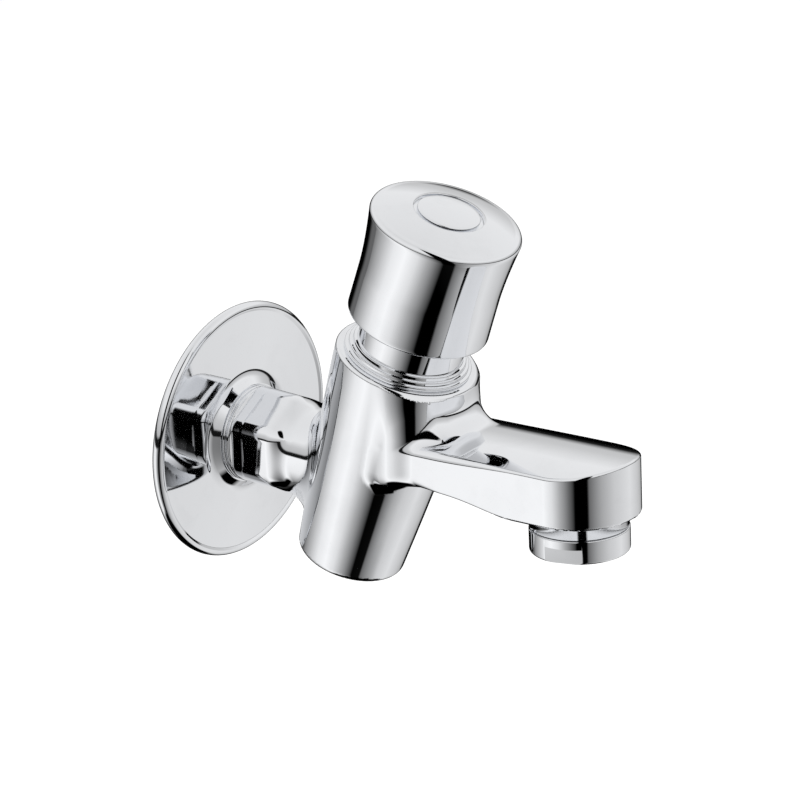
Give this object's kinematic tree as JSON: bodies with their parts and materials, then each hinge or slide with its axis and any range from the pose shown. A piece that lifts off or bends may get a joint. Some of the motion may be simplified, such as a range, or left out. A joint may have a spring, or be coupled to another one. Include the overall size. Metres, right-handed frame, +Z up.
{
  "type": "basin faucet",
  "caption": "Wall-mounted self-closing basin tap: leaning barrel with a spring-return push cap, flat-topped spout with a screwed-in aerator, hexagonal inlet arm and round wall flange.",
  "frame": {"origin": "on the centreline of the threaded inlet, in the plane of the wall that the flange's back lies on", "axes": "+X out of the wall towards the nozzle, +Z up, Y across; X-Z is the tap's mirror plane. The barrel and the button's stroke lean 17.6 degrees forward of +Z"},
  "size_m": [0.1446, 0.07, 0.1132],
  "materials": {
    "chrome": "polished chromium plate on brass",
    "brass": "bare turned brass",
    "stainless": "bright stainless steel",
    "rubber": "moulded black rubber",
    "white_plastic": "moulded white plastic",
    "grey_plastic": "moulded grey plastic"
  },
  "bodies": {
    "tap_body": {"valve_body": "chrome", "wall_flange": "chrome", "inlet_strainer": "stainless", "bonnet_nut": "chrome", "bonnet_oring": "rubber", "cartridge_sleeve": "white_plastic", "sleeve_oring": "rubber", "seat_gasket": "rubber", "seat_ring": "stainless", "gland_bush": "brass", "gland_oring": "rubber", "spindle_oring": "rubber", "return_spring": "stainless", "aerator_housing": "chrome", "aerator_gasket": "rubber", "aerator_insert": "grey_plastic", "aerator_screen": "stainless", "flow_regulator": "white_plastic"},
    "button": {"push_cap": "chrome", "index_plate": "chrome", "cap_screw": "stainless", "cap_insert": "white_plastic", "cap_circlip": "stainless", "spindle": "stainless", "cup_seal": "rubber", "piston": "brass", "bleed_screw": "brass", "piston_circlip": "stainless", "seat_washer": "rubber", "washer_retainer": "brass", "retainer_nut": "brass"}
  },
  "joints": [
    {"name": "button_press", "type": "slide", "parent": "tap_body", "child": "button", "axis": [-0.3024, 0, -0.9532], "range_m": [0, 0.008], "stiffness_N_per_m": 1200, "springref_m": -0.012, "deforming": ["return_spring"]}
  ]
}
